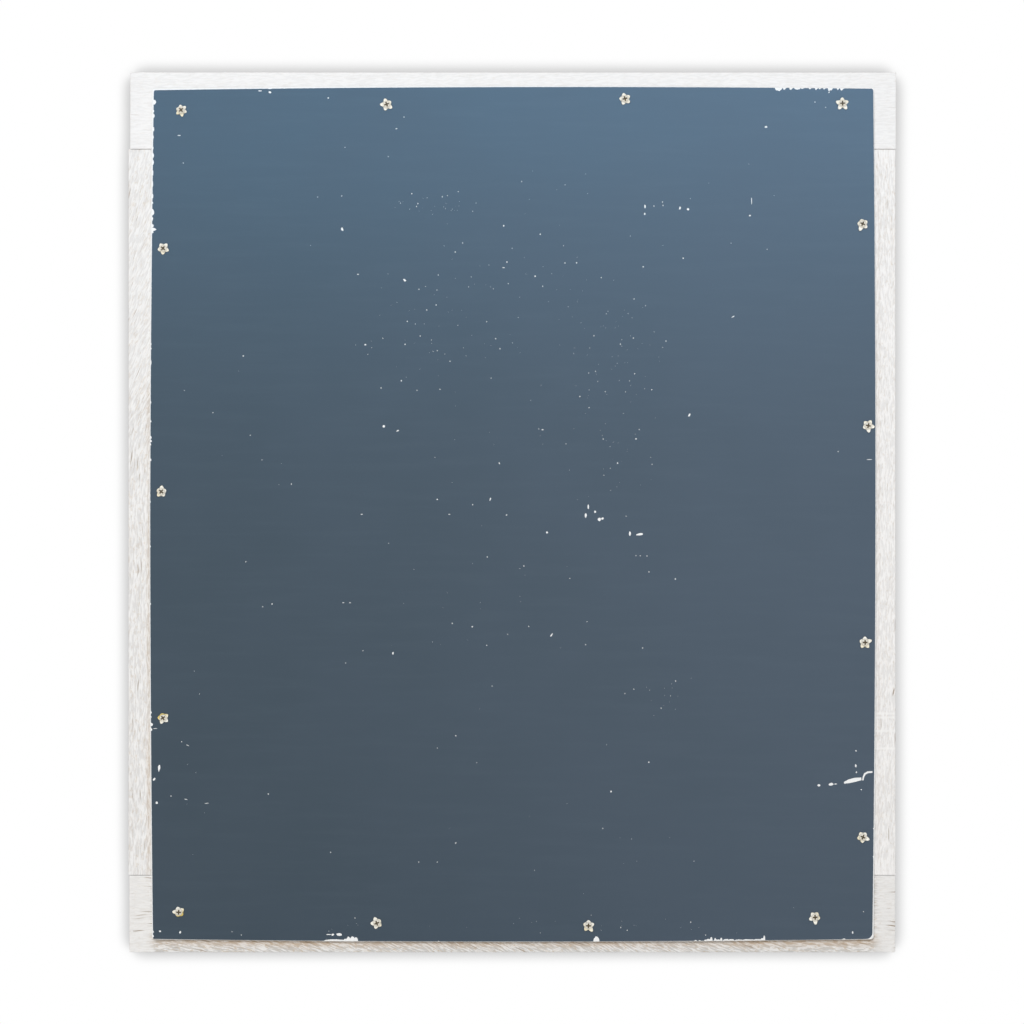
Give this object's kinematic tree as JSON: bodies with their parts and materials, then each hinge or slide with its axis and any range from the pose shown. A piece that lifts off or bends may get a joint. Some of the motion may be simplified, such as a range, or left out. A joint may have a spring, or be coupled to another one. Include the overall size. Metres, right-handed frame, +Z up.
{
  "type": "chalkboard",
  "caption": "Wall chalkboard: a slate-blue painted panel held on a whitewashed oak frame by petalled rosettes and screws, with swinging D-ring hangers and wall pads behind.",
  "frame": {"origin": "in the plane of the frame's back, midway between the pivots of the two hanger rings", "axes": "+X to the right seen from the front, +Y from the back towards the wall, +Z up; the writing face looks along -Y"},
  "size_m": [0.7005, 0.0323, 0.8029],
  "materials": {
    "whitewashed_oak": "whitewashed, matte, open grain",
    "chalkboard_paint": "slate-blue chalkboard paint on board, matte",
    "cream_enamel": "cream enamel, worn",
    "cream_screw": "cream enamel on steel, dark in the recess",
    "zinc_steel": "zinc plated, satin",
    "beech": "raw",
    "grey_rubber": "matte"
  },
  "bodies": {
    "board": {"top_rail": "whitewashed_oak", "bottom_rail": "whitewashed_oak", "left_stile": "whitewashed_oak", "right_stile": "whitewashed_oak", "writing_panel": "chalkboard_paint", "rosette_top_1": "cream_enamel", "rosette_top_2": "cream_enamel", "rosette_top_3": "cream_enamel", "rosette_top_4": "cream_enamel", "rosette_right_1": "cream_enamel", "rosette_right_2": "cream_enamel", "rosette_right_3": "cream_enamel", "rosette_right_4": "cream_enamel", "rosette_bottom_1": "cream_enamel", "rosette_bottom_2": "cream_enamel", "rosette_bottom_3": "cream_enamel", "rosette_bottom_4": "cream_enamel", "rosette_left_1": "cream_enamel", "rosette_left_2": "cream_enamel", "rosette_left_3": "cream_enamel", "screw_top_1": "cream_screw", "screw_top_2": "cream_screw", "screw_top_3": "cream_screw", "screw_top_4": "cream_screw", "screw_right_1": "cream_screw", "screw_right_2": "cream_screw", "screw_right_3": "cream_screw", "screw_right_4": "cream_screw", "screw_bottom_1": "cream_screw", "screw_bottom_2": "cream_screw", "screw_bottom_3": "cream_screw", "screw_bottom_4": "cream_screw", "screw_left_1": "cream_screw", "screw_left_2": "cream_screw", "screw_left_3": "cream_screw", "dowel_top_left_outer": "beech", "dowel_top_left_inner": "beech", "dowel_top_right_outer": "beech", "dowel_top_right_inner": "beech", "dowel_bottom_left_outer": "beech", "dowel_bottom_left_inner": "beech", "dowel_bottom_right_outer": "beech", "dowel_bottom_right_inner": "beech", "hanger_strap_left": "zinc_steel", "hanger_strap_right": "zinc_steel", "hanger_screw_left": "zinc_steel", "hanger_screw_right": "zinc_steel", "wall_pad_left": "grey_rubber", "wall_pad_right": "grey_rubber"},
    "left_ring": {"hanger_ring_left": "zinc_steel"},
    "right_ring": {"hanger_ring_right": "zinc_steel"}
  },
  "joints": [
    {"name": "left_ring_swing", "type": "hinge", "parent": "board", "child": "left_ring", "pos_m": [-0.315, 0.0025, 0], "axis": [1, 0, 0], "range_deg": [0, 180]},
    {"name": "right_ring_swing", "type": "hinge", "parent": "board", "child": "right_ring", "pos_m": [0.315, 0.0025, 0], "axis": [1, 0, 0], "range_deg": [0, 180]}
  ]
}
